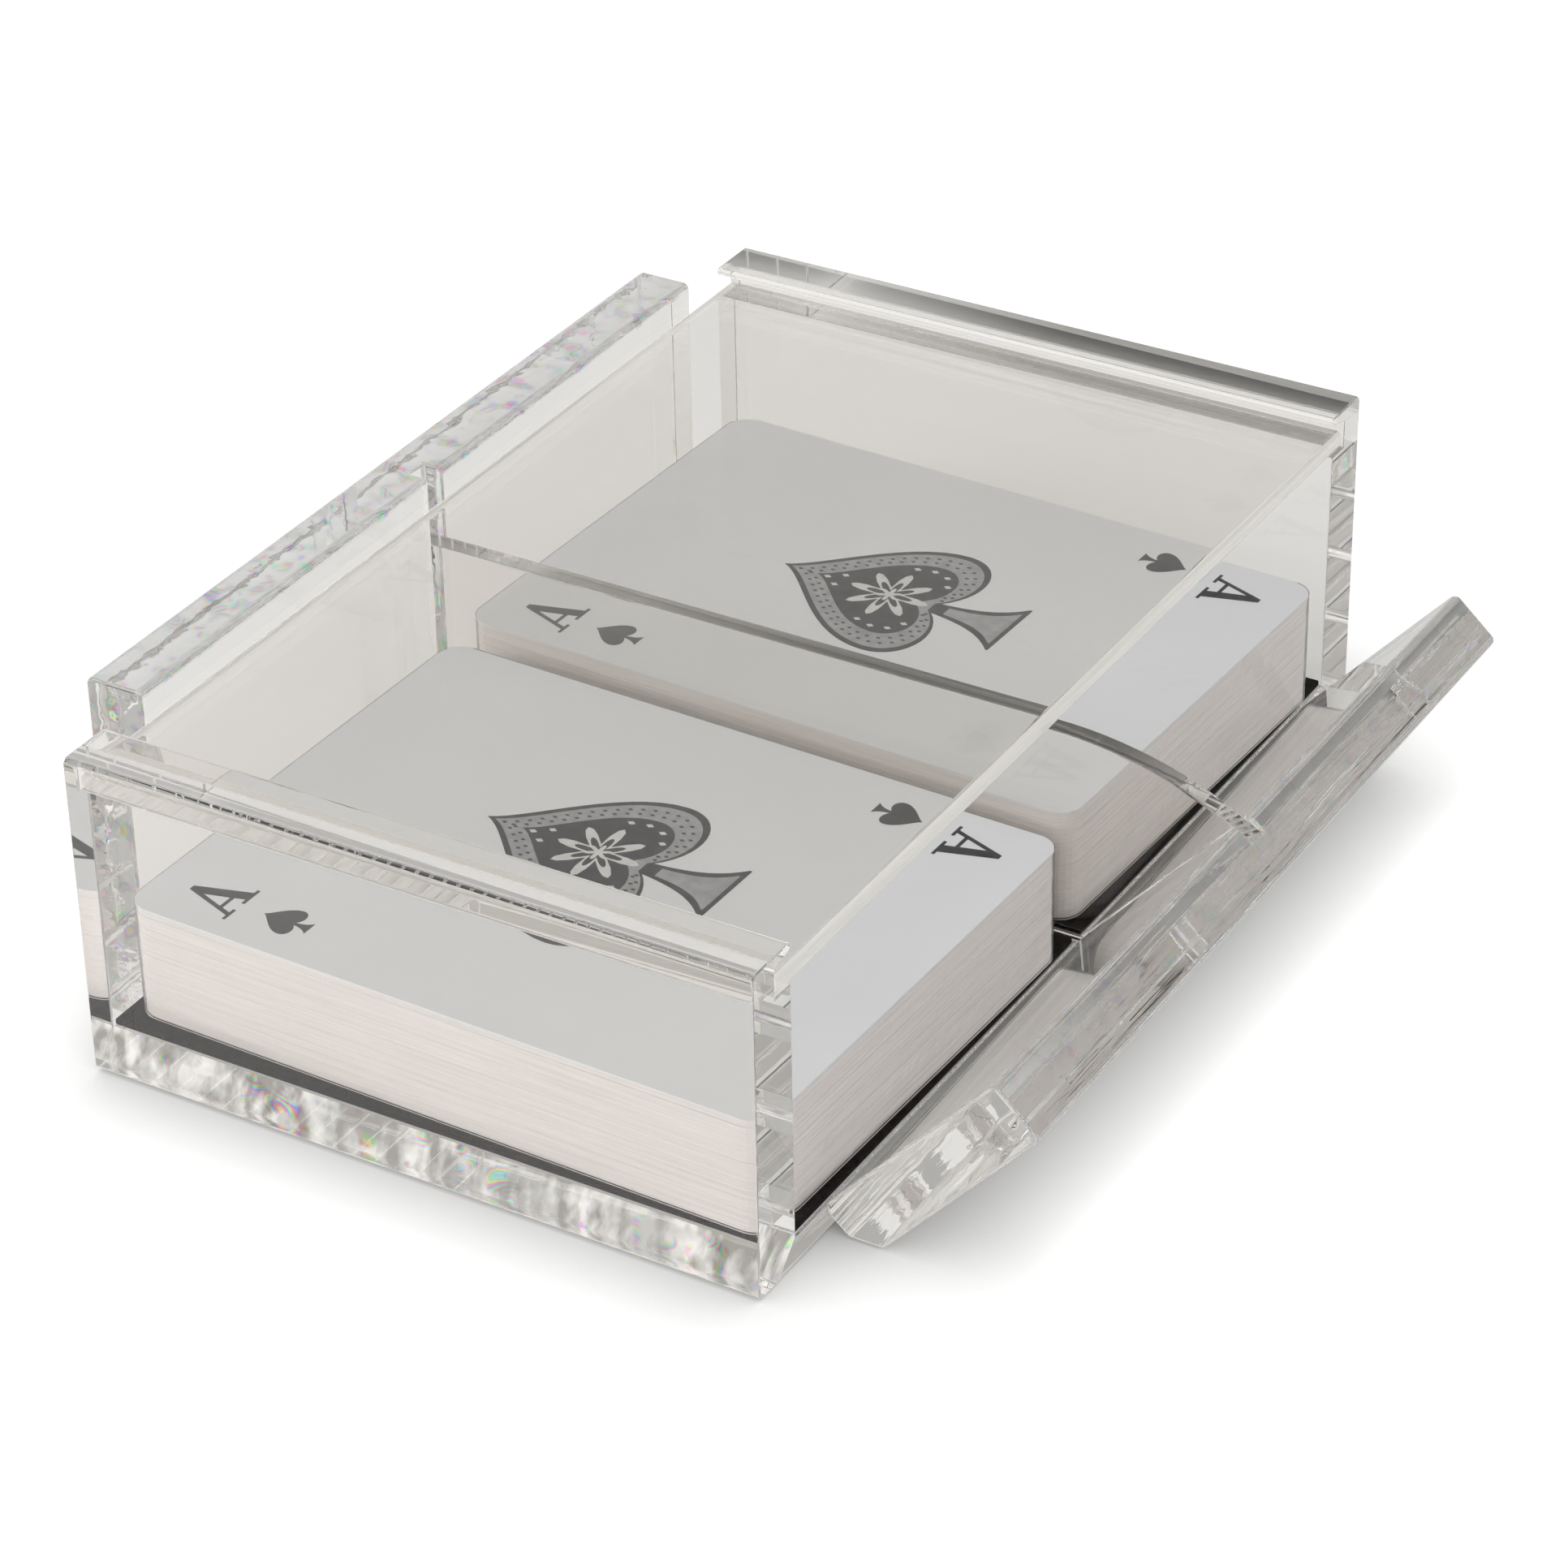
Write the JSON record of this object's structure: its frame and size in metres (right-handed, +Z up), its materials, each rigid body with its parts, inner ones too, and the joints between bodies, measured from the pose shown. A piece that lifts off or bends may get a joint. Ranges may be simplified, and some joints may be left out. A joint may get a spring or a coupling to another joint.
{
  "type": "playing card tray",
  "caption": "Clear acrylic tray with two film-wrapped decks of playing cards, felt-lined bays, a divider, a leaning lip at the open end and a lid that slides out along grooves in the side walls",
  "frame": {"origin": "on the table, under the middle of the tray's outline", "axes": "+X to the open end with the lip, +Y to the back, across the two bays, +Z up"},
  "size_m": [0.1264, 0.153, 0.0442],
  "materials": {
    "clear_acrylic": "clear, polished",
    "felt": "short nap, brown-black",
    "card_stack": "cut card edges",
    "card_face": "coated, dark grey print",
    "clear_film": "thin, glossy, wrinkled at the ends"
  },
  "bodies": {
    "tray": {"base_plate": "clear_acrylic", "front_side_wall": "clear_acrylic", "back_side_wall": "clear_acrylic", "left_end_wall": "clear_acrylic", "right_lip": "clear_acrylic", "divider": "clear_acrylic", "front_liner": "felt", "back_liner": "felt"},
    "lid": {"sliding_lid": "clear_acrylic"},
    "front_deck_body": {"front_deck": "card_stack", "front_top_card": "card_face", "front_wrapper": "clear_film"},
    "back_deck_body": {"back_deck": "card_stack", "back_top_card": "card_face", "back_wrapper": "clear_film"}
  },
  "joints": [
    {"name": "lid_slide", "type": "slide", "parent": "tray", "child": "lid", "axis": [1, 0, 0], "range_m": [0, 0.09]},
    {"name": "front_deck_lift", "type": "slide", "parent": "tray", "child": "front_deck_body", "axis": [0, 0, 1], "range_m": [0, 0.015]},
    {"name": "back_deck_lift", "type": "slide", "parent": "tray", "child": "back_deck_body", "axis": [0, 0, 1], "range_m": [0, 0.015]}
  ]
}
